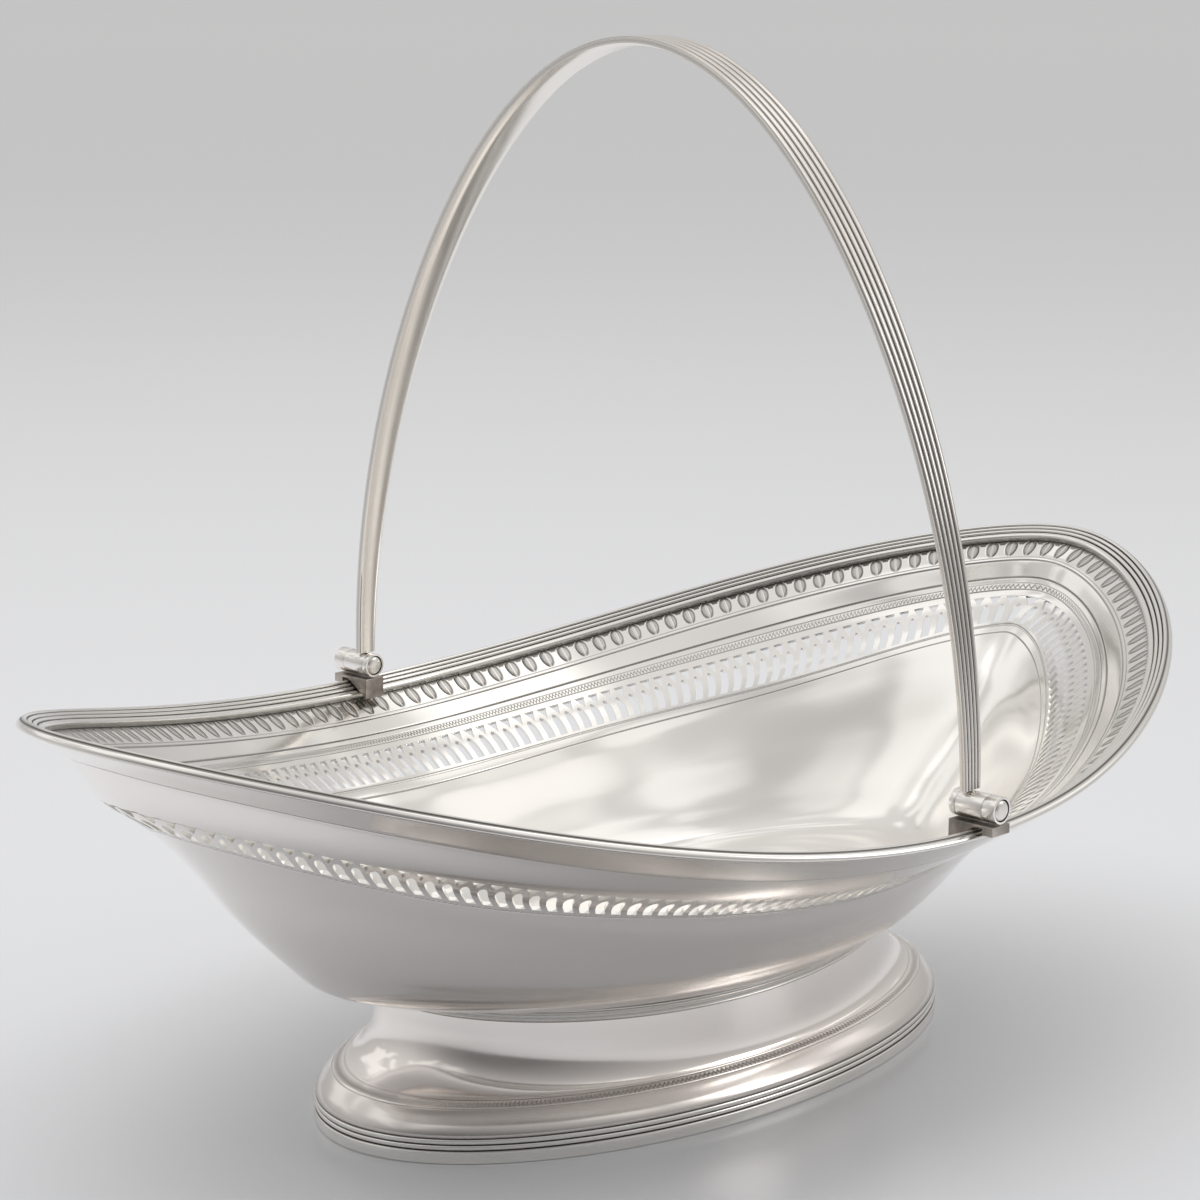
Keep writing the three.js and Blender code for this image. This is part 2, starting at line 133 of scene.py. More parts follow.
def lip_point(t, share, lift):
    """Upper face of the lip: share 0 at its root, 1 at the edge, lifted along its normal."""
    inward = LIP_RUN * (1 - share) + lift * LIP_DROP / LIP_LENGTH
    down = LIP_DROP * (1 - share) - lift * LIP_RUN / LIP_LENGTH
    return step_in(t, np.full(t.shape, inward), down)


def foot_point(t, share, inset, height, rise):
    """A point of the foot, in millimetres. All but t may be numbers or arrays.

    The plan is an ellipse a share of the way from the base in to the neck, less an inset. The
    height is height + rise * NECK_RISE * cos^2 t.
    """
    along = FOOT_HALF_LENGTH - NECK_INSET_AT_END * share - inset
    across = FOOT_HALF_WIDTH - NECK_INSET_AT_SIDE * share - inset
    up = height + rise * NECK_RISE * np.cos(t) ** 2
    return np.stack([along * np.cos(t), across * np.sin(t), up + 0 * t], -1)


def level(t, side, end):
    """A level of the wall: steps inward and down from the lip's root, at a side and an end."""
    ends = np.cos(t) ** 2
    inward = side[0] + (end[0] - side[0]) * ends
    down = side[1] + (end[1] - side[1]) * ends
    return step_in(t, LIP_RUN + inward, LIP_DROP + down)


# the pierced band's edges: (inward, down) from the lip's root, at the sides and at the ends
BAND_TOP = ((10.0, 6.0), (5.0, 9.6))
BAND_BOTTOM = ((19.8, 12.2), (14.0, 16.2))
# levels from the neck up to the band: (height share, reach at the sides, reach at the ends)
LOWER_WALL = [(0.08, 0.202, 0.306), (0.24, 0.372, 0.449), (0.5, 0.587, 0.646), (0.78, 0.828, 0.824)]


def lower_wall(t, height_share, side_reach, end_reach):
    """Between the neck and the pierced band: neck + (band - neck) * (reach, reach, height)."""
    neck = foot_point(t, 1.0, SHEET - COLLAR_PROUD, FOOT_HEIGHT + SHEET, 1.0)
    band = level(t, *BAND_BOTTOM)
    reach = side_reach + (end_reach - side_reach) * np.cos(t) ** 2
    share = np.stack([reach, reach, np.full(t.shape, height_share)], -1)
    return neck + (band - neck) * share


print("rim tip:", rim_plan(np.array([0.0]))[0], "rim at hinge:", rim_height(np.array([math.pi / 2])))

# %% [markdown]
# ## A smooth wall through the levels
#
# The wall could be lofted by hand from a few curves. Here a cubic runs through the levels for
# every angle at once, so that the polished metal has no facets and no kinks except at the
# lip's root. Row numbers stand for height: 0 is the neck, 5 and 6 are the two edges of the
# pierced band, 7 is the lip's root and 8 the rim edge.

# %% Wall function
def wall_levels(t):
    """The wall's levels 0 to 7 at the angles t, as an array (8, n, 3)."""
    rows = [lower_wall(t, 0.0, 0.0, 0.0)]
    rows += [lower_wall(t, *shares) for shares in LOWER_WALL]
    rows += [level(t, *BAND_BOTTOM), level(t, *BAND_TOP), lip_point(t, 0.0, 0.0)]
    return np.stack(rows)


def wall(t, row):
    """Point of the inner face at angle t and row number.

    Rows 0 to 7 follow a Hermite cubic through the levels, whose tangent at a level is the mean
    slope of the chords on both sides of it. Rows 7 to 8 are the straight lip.
    """
    knots = wall_levels(t)
    chord = np.diff(knots, axis=0)
    size = np.linalg.norm(chord, axis=-1, keepdims=True)
    slope = chord / size
    tangent = np.concatenate(
        [
            slope[:1],
            (slope[:-1] * size[1:] + slope[1:] * size[:-1]) / (size[1:] + size[:-1]),
            slope[-1:],
        ]
    )
    k = np.clip(row.astype(int), 0, 6)
    n = np.arange(len(t))
    f = np.clip(row - k, 0, 1)[:, None]
    reach = size[k, n]
    p0, p1 = knots[k, n], knots[k + 1, n]
    m0, m1 = tangent[k, n] * reach, tangent[k + 1, n] * reach
    cubic = (
        p0 * (2 * f**3 - 3 * f**2 + 1)
        + m0 * (f**3 - 2 * f**2 + f)
        + p1 * (3 * f**2 - 2 * f**3)
        + m1 * (f**3 - f**2)
    )
    on_lip = row > 7
    if on_lip.any():
        share = np.clip(row[on_lip] - 7, 0, 1)
        root, edge = knots[7][on_lip], lip_point(t[on_lip], 1.0, 0.0)
        cubic[on_lip] = root + (edge - root) * share[:, None]
    return cubic


def wall_normal(t, row):
    """Unit normal of the wall, to the outside: d(wall)/dt x d(wall)/d(row)."""
    around = wall(t + 1e-3, row) - wall(t - 1e-3, row)
    up = wall(t, np.minimum(row + 0.02, 8.0)) - wall(t, np.maximum(row - 0.02, 0.0))
    normal = np.cross(around, up)
    return normal / np.linalg.norm(normal, axis=-1, keepdims=True)


def drawn_row(t, row):
    """Row number of the wall for a row number that counts 5 and 6 at the pierced band's edges.

    Between the sides and the ends the band dips, by 0.42 sin^4 2t at its foot and 0.22 sin^4 2t
    at its head.
    """
    dip = np.sin(2 * t) ** 4
    low, high = 5 - 0.42 * dip, 6 - 0.22 * dip
    under = row / 5 * low
    over = low + (row - 5) * (high - low)
    plain = high + (row - 6) * (7 - high)
    return np.where(row <= 5, under, np.where(row <= 6, over, np.where(row <= 7, plain, row)))


def equal_angles(count, curve):
    """Angles that cut a closed curve into equal lengths, by inverting its running length."""
    fine = np.linspace(0, 2 * math.pi, 8193)
    steps = np.linalg.norm(np.diff(curve(fine), axis=0), axis=1)
    length = np.concatenate([[0], np.cumsum(steps)])
    return np.interp(np.arange(count) / count * length[-1], length, fine)


# %% [markdown]
# ## Building meshes from arrays
#
# Every piece ends as one list of points, faces, flat coordinates for the engraving and
# normals. The flat coordinates are (share of the way round, level), so a node tree can draw
# a line at a given height all round the basket.

# %% Mesh from arrays
FLAT_KIND = 2  # the material index of the faces that are never shaded smooth


def make_piece(name, points, quads, triangles, coords, normals, materials, body, nodes):
    """One mesh object from arrays in millimetres; quads and triangles are index arrays.

    Each face array is a pair (indices, material index); normals may hold zeros, which stand
    for the face's own normal.
    """
    faces = [*quads, *triangles]
    sizes = np.concatenate([np.full(len(f), f.shape[1]) for f, _ in faces])
    loops = np.concatenate([f.reshape(-1) for f, _ in faces])
    kinds = np.concatenate([np.full(len(f), k) for f, k in faces])
    starts = np.concatenate([[0], np.cumsum(sizes)[:-1]])
    mesh = bpy.data.meshes.new(name)
    mesh.vertices.add(len(points))
    mesh.vertices.foreach_set("co", (points * MM).astype(np.float32).ravel())
    mesh.loops.add(len(loops))
    mesh.loops.foreach_set("vertex_index", loops.astype(np.int32))
    mesh.polygons.add(len(sizes))
    mesh.polygons.foreach_set("loop_start", starts.astype(np.int32))
    mesh.polygons.foreach_set("material_index", kinds.astype(np.int32))
    mesh.update(calc_edges=True)
    layer = mesh.uv_layers.new(name="Levels")
    uv = coords[loops]
    # a face that crosses the start of the turn takes the far side's share plus one
    first = np.repeat(uv[starts, 0], sizes)
    uv[:, 0] += np.round(first - uv[:, 0])
    layer.data.foreach_set("uv", uv.astype(np.float32).ravel())
    if normals is not None:
        loop_normals = normals[loops]
        wanted = np.linalg.norm(loop_normals, axis=1) > 0.5
        face_normals = np.zeros(len(mesh.polygons) * 3, np.float32)
        mesh.polygons.foreach_get("normal", face_normals)
        own = np.repeat(face_normals.reshape(-1, 3), sizes, axis=0)
        flat = ~wanted | (np.repeat(kinds, sizes) == FLAT_KIND)
        loop_normals = np.where(flat[:, None], own, loop_normals)
        mesh.polygons.foreach_set("use_smooth", np.ones(len(sizes), bool))
        mesh.normals_split_custom_set(loop_normals.tolist())
    piece = bpy.data.objects.new(name, mesh)
    bpy.context.scene.collection.objects.link(piece)
    for material in materials:
        mesh.materials.append(material)
    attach(piece, body)
    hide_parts(*nodes)
    print(name, "vertices:", len(points), "faces:", len(sizes))
    return piece


def smooth(piece, degrees):
    """Smooth shading, with a sharp edge where two faces meet at more than some degrees."""
    mesh = piece.data
    mesh.polygons.foreach_set("use_smooth", np.ones(len(mesh.polygons), bool))
    mesh.set_sharp_from_angle(angle=math.radians(degrees))


def ring_quads(rows, columns, closed_rows):
    """Quads of a grid of rows round a closed turn; rows may close on themselves too."""
    r = np.arange(rows if closed_rows else rows - 1)[:, None]
    c = np.arange(columns)[None]
    r1, c1 = (r + 1) % rows, (c + 1) % columns
    a, b = r * columns + c, r * columns + c1
    d, e = r1 * columns + c1, r1 * columns + c
    return np.stack([a, b, d, e], -1).reshape(-1, 4)


# %% [markdown]
# ## Silver
#
# Polished silver is a mirror with faults: faint scratches, slow waves left by the hammer, and
# dark sulphide that stays wherever a cloth can't reach. One function makes the metal, and each
# kind of silver adds its own grooves, read from the Levels coordinates; some kinds add painted
# shade the same way, in the tarnish colour. A small class lets the formulas below read as
# formulas, where each sum or product is a node.

# %% Node helpers
class Wire:
    """A number in a node tree. Arithmetic on wires adds Math nodes to the tree."""

    def __init__(self, tree, socket):
        self.tree = tree
        self.socket = socket

    def maths(self, operation, *others):
        """The result of a Math node on this wire and others, which are wires or numbers."""
        node = self.tree.nodes.new("ShaderNodeMath")
        node.operation = operation
        for entry, value in zip(node.inputs, (self, *others)):
            plug(self.tree, entry, value)
        return Wire(self.tree, node.outputs[0])

    def __add__(self, other):
        return self.maths("ADD", other)

    def __sub__(self, other):
        return self.maths("SUBTRACT", other)

    def __mul__(self, other):
        return self.maths("MULTIPLY", other)

    def __truediv__(self, other):
        return self.maths("DIVIDE", other)

    def __pow__(self, other):
        return self.maths("POWER", other)

    def __abs__(self):
        return self.maths("ABSOLUTE")

    def __gt__(self, other):
        return self.maths("GREATER_THAN", other)

    def __lt__(self, other):
        return self.maths("LESS_THAN", other)

    def most(self, other):
        return self.maths("MAXIMUM", other)


def plug(tree, entry, value):
    """Gives a node's entry its value: a wire, another node's socket or a constant."""
    if isinstance(value, Wire):
        value = value.socket
    if isinstance(value, bpy.types.NodeSocket):
        tree.links.new(value, entry)
    else:
        entry.default_value = value


def new_node(tree, kind, **inputs):
    """A node of a kind with some inputs set, by name or by number as in i0 and i1."""
    node = tree.nodes.new(kind)
    for name, value in inputs.items():
        key = int(name[1:]) if name[1:].isdigit() else name.replace("_", " ")
        plug(tree, node.inputs[key], value)
    return node


def noise(tree, place, scale, detail, **more):
    """Smooth noise from 0 to 1 over a place."""
    node = new_node(tree, "ShaderNodeTexNoise", Vector=place, Scale=scale, Detail=detail, **more)
    return Wire(tree, node.outputs[0])


def mix_colours(tree, share, first, second):
    """A colour between two others: the first where share is 0, the second where it is 1."""
    node = tree.nodes.new("ShaderNodeMix")
    node.data_type = "RGBA"
    for number, value in ((0, share), (6, first), (7, second)):
        plug(tree, node.inputs[number], value)
    return node.outputs[2]


def ramp(value, low, high, marks):
    """Straight lines through marks (position, strength), read at a value from low to high."""
    node = value.tree.nodes.new("ShaderNodeValToRGB")
    stops = node.color_ramp.elements
    while len(stops) > 1:
        stops.remove(stops[-1])
    for i, (position, strength) in enumerate(sorted(marks)):
        share = (position - low) / (high - low)
        stop = stops[0] if i == 0 else stops.new(share)
        stop.position = share
        stop.color = (strength, strength, strength, 1)
    plug(value.tree, node.inputs[0], (value - low) / (high - low))
    return Wire(value.tree, node.outputs[0])


def line_marks(lines):
    """Ramp marks for thin lines: (position, half width, strength) each give three marks."""
    marks = []
    for position, half, strength in lines:
        marks += [(position - half, 0.0), (position, strength), (position + half, 0.0)]
    return marks


# %% Silver material
WARMER = (0.96, 0.925, 0.88)  # how the colour changes where the polish has gone
# dark of tarnish in the grooves, and also the colour of painted shade
TARNISH_AND_SHADE = (0.055, 0.045, 0.035, 1)
WAVE_HEIGHT, SCRATCH_HEIGHT, GROOVE_DEPTH = 0.004, 0.0000035, 0.00025


def silver(name, grooves=None, colour=(0.925, 0.912, 0.885), rough=0.12, waves=0.12, dark=0.85):
    """Polished silver. grooves(along, across) gives, from 0 to 1, the depth of its grooves and the
    strength of any painted shade.

    waves scales the hammer's marks, and dark is how much of the tarnish colour goes into grooves
    and painted shade.
    """
    material = bpy.data.materials.new(name)
    material.use_nodes = True
    tree = material.node_tree
    tree.nodes.clear()
    place = new_node(tree, "ShaderNodeTexCoord").outputs["Object"]
    levels = tree.nodes.new("ShaderNodeUVMap")
    levels.uv_map = "Levels"
    split = new_node(tree, "ShaderNodeSeparateXYZ", Vector=levels.outputs[0])

    # haze dulls the polish, smears warm the colour, hammer marks and scratches bend the light
    haze = noise(tree, place, 38.0, 5.0, Roughness=0.6)
    smear = noise(tree, place, 9.0, 3.0)
    hammer = noise(tree, place, 22.0, 1.5)
    scratch = noise(tree, place, 900.0, 2.0)

    worn = [part * warmer for part, warmer in zip(colour, WARMER)]
    smeared = ramp(smear, 0.0, 1.0, [(0.45, 0.0), (0.75, 0.45)])
    base = mix_colours(tree, smeared, (*colour, 1), (*worn, 1))
    roughness = haze * (rough * 0.9) + rough * 0.6
    height = hammer * (waves * WAVE_HEIGHT) + scratch * SCRATCH_HEIGHT
    if grooves:
        depth = grooves(Wire(tree, split.outputs[0]), Wire(tree, split.outputs[1]))
        # grooves take the tarnish colour; painted shade is mixed in with the same colour
        base = mix_colours(tree, depth * dark, base, TARNISH_AND_SHADE)
        roughness = roughness + depth * 0.3
        height = height - depth * GROOVE_DEPTH
    bump = new_node(tree, "ShaderNodeBump", Strength=1.0, Distance=1.0, Height=height)
    shader = new_node(
        tree, "ShaderNodeBsdfPrincipled",
        Base_Color=base, Metallic=1.0, Roughness=roughness, Normal=bump.outputs[0],
    )
    new_node(tree, "ShaderNodeOutputMaterial", i0=shader.outputs[0])
    return material


# %% [markdown]
# ## Engraving
#
# The levels of the bowl count in tenths between two edges: 0 to 10 across the pierced band, 10
# to 20 up the plain wall and 20 to 30 up the lip; below 0 they are millimetres under the band.
# Single lines, zigzag work and a border of leaves are all drawn from two numbers, the share of
# the way along the turn and the level across it. Engraving could be modelled as real grooves,
# but at a tenth of a millimetre a bump and a dark line look the same and cost no triangles.

# %% Engraving
LOWEST_LINE, HIGHEST_LINE = -8.0, 32.0
LEAVES, LEAF_LOW, LEAF_TALL = 152, 20.6, 4.8
LEAF_HALF_WIDTH, LEAF_HALF_HEIGHT, LEAF_MIDDLE = 0.3, 0.5, 0.58


def zigzag(along, across, low, climb, count, half):
    """1 on a zigzag line and 0 at half a line's width from it.

    The line is low + climb * triangle wave, with count teeth round the turn.
    """
    wave = (along * count).maths("PINGPONG", 0.5)
    away = abs(across - (wave * (2 * climb) + low))
    return (away / -half + 1.0).most(0.0)


def leaf_border(along, across):
    """A row of small oval leaves up the lip, each sunk a little, with a dark outline.

    x runs from -0.5 to 0.5 over a leaf's place and y from 0 to 1 up the border. With m the
    leaf's middle, reach = sqrt((x / half width)^2 + ((y - m) / half height)^2) is 1 on its edge.
    """
    x = (along * LEAVES).maths("FRACT") - 0.5
    y = (across - LEAF_LOW) / LEAF_TALL
    wide = abs(x / LEAF_HALF_WIDTH)
    tall = abs((y - LEAF_MIDDLE) / LEAF_HALF_HEIGHT)
    reach = (wide**2.0 + tall**2.0).maths("SQRT")
    sunk = ramp(reach, 0.0, 2.0, [(0.0, 0.4), (0.6, 0.5), (0.92, 0.9), (1.14, 0.0)])
    beside_vein = ramp(abs(x), 0.0, 0.5, [(0.0, 0.0), (0.04, 0.0), (0.08, 1.0)])
    leaf = sunk * (beside_vein * 0.5 + 0.5)
    notch = (abs(x) > 0.36) * ramp(y, 0.0, 1.0, [(0.78, 0.0), (0.98, 0.7)])
    return leaf.most(notch) * ((y > 0.0) * (y < 1.0))


def inside_grooves_and_shadow(along, across):
    """All that is cut inside the bowl, and a shadow where the rim's wire meets the lip."""
    lines = [
        (-3.7, 0.26, 0.9), (-1.05, 0.16, 0.6), (-0.5, 0.16, 0.6), (11.4, 0.2, 0.5),
        (13.2, 0.2, 0.5), (14.8, 0.34, 0.95), (19.5, 0.3, 0.7), (20.4, 0.15, 0.5),
    ]
    drawn = ramp(across, LOWEST_LINE, HIGHEST_LINE, line_marks(lines))
    wriggle = zigzag(along, across, 11.75, 1.1, 736, 0.35) * 0.55
    # painted shadow: the lip darkens just inside the rim's wire, in the tarnish colour
    shadow = ramp(across, 20.0, 30.0, [(24.8, 0.0), (25.4, 0.6), (27.0, 0.6)])
    return drawn.most(wriggle).most(leaf_border(along, across)).most(shadow)


def outside_grooves_and_shade(along, across):
    """A line and a zigzag under the band; painted shade at the lip's root and under the rim's wire."""
    # painted shade lines at 20.0 (crease at the lip's root) and 29.6 (under the rim's wire)
    lines = [(-0.6, 0.1, 0.25), (20.0, 0.35, 0.5), (29.6, 0.3, 0.4)]
    drawn = ramp(across, LOWEST_LINE, HIGHEST_LINE, line_marks(lines))
    return drawn.most(zigzag(along, across, -1.3, 0.35, 552, 0.3) * 0.5)


def block_painted_shade(along, across):
    """Uneven painted shade on the hinge block, patchy by noise, from 0.25 to 0.9."""
    place = new_node(along.tree, "ShaderNodeTexCoord").outputs["Object"]
    return ramp(noise(along.tree, place, 160.0, 3.0), 0.0, 1.0, [(0.3, 0.25), (0.7, 0.9)])


def reed_grooves(along, across):
    """On reeded pieces the level is the groove's depth itself: 0 on a crest, 1 in a groove."""
    return across.most(0.0) ** 0.8


def handle_grooves(along, across):
    """Rubbed least in its grooves, the strap keeps a broad dark line in each of them."""
    return across.most(0.0) ** 0.6


def foot_grooves_and_shade(along, across):
    """Zigzag, line and painted shade on the spool's flange; level is ten times the height share."""
    # painted shade: darkest at the flange's foot on the reeds, light up the flange's slope
    shade = [(0.0, 0.9), (0.12, 0.3), (1.2, 0.2), (2.35, 0.16), (2.42, 0.45), (2.49, 0.0)]
    drawn = ramp(across, 0.0, 10.0, shade + line_marks([(2.95, 0.05, 0.4)]))
    return drawn.most(zigzag(along, across, 2.58, 0.22, 420, 0.09) * 0.8)


# %% The kinds of silver
silver_inside = silver("silver_inside", inside_grooves_and_shadow, waves=0.16)
silver_outside = silver("silver_outside", outside_grooves_and_shade, (0.945, 0.915, 0.89), waves=0.05)
silver_edge = silver("silver_edge", rough=0.22)
silver_reeds = silver("silver_reeds", reed_grooves, rough=0.16, waves=0.03, dark=0.96)
silver_handle = silver("silver_handle", handle_grooves, (0.9, 0.865, 0.825), 0.18, 0.03, 0.97)
silver_foot = silver("silver_foot", foot_grooves_and_shade, (0.93, 0.885, 0.855), waves=0.08)
silver_plain = silver("silver_plain", None, (0.92, 0.9, 0.875), 0.18, 0.05)
# painted shade under the hinge barrel: a darker colour and patchy darkening on the block
silver_block_painted_shade = silver("silver_block_painted_shade", block_painted_shade, (0.74, 0.68, 0.63), 0.26, 0.04)
silver_pin = silver("silver_pin", None, (0.86, 0.84, 0.81), 0.3)
silver_foot_trim = silver("silver_foot_trim", reed_grooves, (0.9, 0.88, 0.85), dark=0.7)
print("materials:", [m.name for m in bpy.data.materials if m.name.startswith("silver")])

# %% [markdown]
# ## The bowl
#
# The bowl is one closed sheet: an inner skin, an outer skin one sheet's thickness away along
# the normal, the sheet's own edge at the rim, and the walls of every opening. The pierced band
# repeats one small pattern, which is cut into triangles once and then laid round the bowl by
# array arithmetic.

# %% One pierced cell
# Widths and heights are shares of the cell's own.
SLOT_FOOT, SLOT_SHOULDER, SLOT_HEAD, SLOT_HALF = 0.04, 0.40, 0.70, 0.30
WEDGE_TIP, WEDGE_TOP, WEDGE_HALF = 0.63, 0.965, 0.36


def slot_outline():
    """An arched slot in its cell, anticlockwise: flat foot, straight sides, pointed head."""
    rise = np.linspace(0, 1, 6)  # up the pointed head
    half = SLOT_HALF * np.sqrt(np.maximum(1 - rise**1.7, 0))
    up = SLOT_SHOULDER + (SLOT_HEAD - SLOT_SHOULDER) * rise
    right = np.stack([0.5 + half, up], -1)
    left = np.stack([0.5 - half, up], -1)[::-1][1:]
    foot = np.array([[0.5 - SLOT_HALF, SLOT_FOOT], [0.5, SLOT_FOOT], [0.5 + SLOT_HALF, SLOT_FOOT]])
    half_way = (SLOT_FOOT + SLOT_SHOULDER) / 2
    right_middle, left_middle = [[0.5 + SLOT_HALF, half_way]], [[0.5 - SLOT_HALF, half_way]]
    return np.concatenate([foot, right_middle, right, left, left_middle])


def cell_pattern():
    """Points of one cell, its triangles, and the directed edges that need a wall.

    The first points are the ones that the cell shares: the foot and head rows of the grid and
    the two points on each side where the wedge between two arches is cut.
    """
    foot = [(i / COLUMNS_PER_SLOT, 0.0) for i in range(COLUMNS_PER_SLOT + 1)]
    head = [(i / COLUMNS_PER_SLOT, 1.0) for i in range(COLUMNS_PER_SLOT + 1)]
    sides = [(0, 0.3), (0, WEDGE_TIP), (0, WEDGE_TOP), (1, 0.3), (1, WEDGE_TIP), (1, WEDGE_TOP)]
    corners = [(WEDGE_HALF, WEDGE_TOP), (1 - WEDGE_HALF, WEDGE_TOP)]
    hole = slot_outline()
    points = np.concatenate([np.array(foot + head + sides + corners), hole])
    # the outline runs anticlockwise through the shared points, round the wedges at both sides
    k = COLUMNS_PER_SLOT + 1
    side = 2 * k
    corner = side + len(sides)
    first = corner + len(corners)
    outline = [*range(k), side + 3, side + 4, corner + 1, side + 5]
    outline += [*range(2 * k - 1, k - 1, -1), side + 2, corner, side + 1, side]
    ring = list(range(first, first + len(hole)))
    scaled = points * (1.0, 3.0)  # a cell is three times as tall as wide
    loops = [[Vector((*scaled[i], 0)) for i in loop] for loop in (outline, ring)]
    order = outline + ring
    triangles = np.array([[order[i] for i in t] for t in tessellate_polygon(loops)])
    a, b, c = (scaled[triangles[:, i]] for i in range(3))
    area = (b[:, 0] - a[:, 0]) * (c[:, 1] - a[:, 1]) - (b[:, 1] - a[:, 1]) * (c[:, 0] - a[:, 0])
    triangles[area < 0] = triangles[area < 0][:, ::-1]
    triangles = triangles[np.abs(area) > 1e-9]
    walls = [(ring[i], ring[(i + 1) % len(ring)]) for i in range(len(ring))]
    walls += [(side + 5, corner + 1), (corner + 1, side + 4), (side + 1, corner), (corner, side + 2)]
    return points, triangles, np.array(walls)


cell_points, cell_triangles, cell_walls = cell_pattern()
print("one cell:", len(cell_points), "points,", len(cell_triangles), "triangles")


# %% Bowl arrays
def level_number(t, row):
    """The level that the engraving reads.

    It is 0 to 10 over the band, 10 to 20 over the plain wall and 20 to 30 over the lip. Under
    the band it is the distance from the band in millimetres, negative.
    """
    number = (row - 5) * 10.0
    below = row < 5
    t, row = t[below], row[below]
    stages = [wall(t, drawn_row(t, row + (5 - row) * share)) for share in np.linspace(0, 1, 9)]
    number[below] = -np.linalg.norm(np.diff(stages, axis=0), axis=-1).sum(axis=0)
    return number


angles = equal_angles(COLUMNS, lambda t: level(t, *BAND_BOTTOM))
turn_share = np.arange(COLUMNS) / COLUMNS
lower_rows = np.linspace(0, 5, 27)
upper_rows = np.concatenate([np.linspace(6, 7, 9), np.linspace(7, 8, 7)[1:]])
floor_shares = np.array([0.02, 0.15, 0.3, 0.45, 0.6, 0.72, 0.82, 0.9, 0.96])
FLOOR_LEVEL = -60.0  # far below every engraved line


def lip_share():
    """How far round the middle of the lip each column is, 0 to 1: the leaves are even there."""
    middle = wall(angles, drawn_row(angles, np.full(COLUMNS, 7.5)))
    steps = np.linalg.norm(np.roll(middle, -1, axis=0) - middle, axis=1)
    return np.concatenate([[0.0], np.cumsum(steps)[:-1]]) / steps.sum()


def skin(thickness):
    """Grid points, levels and normals of one skin of the bowl, rows from the floor up."""
    t = np.tile(angles, len(lower_rows) + len(upper_rows))
    row = np.repeat(np.concatenate([lower_rows, upper_rows]), COLUMNS)
    normal = wall_normal(t, drawn_row(t, row))
    points = wall(t, drawn_row(t, row)) + normal * thickness
    floor_t = np.tile(angles, len(floor_shares))
    share = np.repeat(floor_shares, COLUMNS)
    height = FOOT_HEIGHT + SHEET - thickness
    floor = foot_point(floor_t, 1.0, SHEET - COLLAR_PROUD, height, share**1.5)
    floor[:, :2] *= share[:, None]
    down = np.tile([[0.0, 0.0, -1.0]], (len(floor), 1))
    level_of = np.concatenate([np.full(len(floor), FLOOR_LEVEL), level_number(t, row)])
    return np.concatenate([floor, points]), np.concatenate([down, normal]), level_of


def cell_skin(thickness):
    """Points inside the pierced cells on one skin, in the order cell by cell."""
    # its left side, wedge corners and slot; the grid and the next cell hold its other points
    k = 2 * (COLUMNS_PER_SLOT + 1)
    own = np.concatenate([cell_points[k : k + 3], cell_points[k + 6 :]])
    s = np.tile(own[:, 0], SLOTS) + np.repeat(np.arange(SLOTS), len(own))
    wrapped = np.concatenate([angles, [2 * math.pi]])
    t = np.interp(s * COLUMNS_PER_SLOT, np.arange(COLUMNS + 1), wrapped)
    row = 5 + np.tile(own[:, 1], SLOTS)
    normal = wall_normal(t, drawn_row(t, row))
    points = wall(t, drawn_row(t, row)) + normal * thickness
    coords = np.stack([s / SLOTS, (row - 5) * 10], -1)
    return points, normal, coords, len(own)


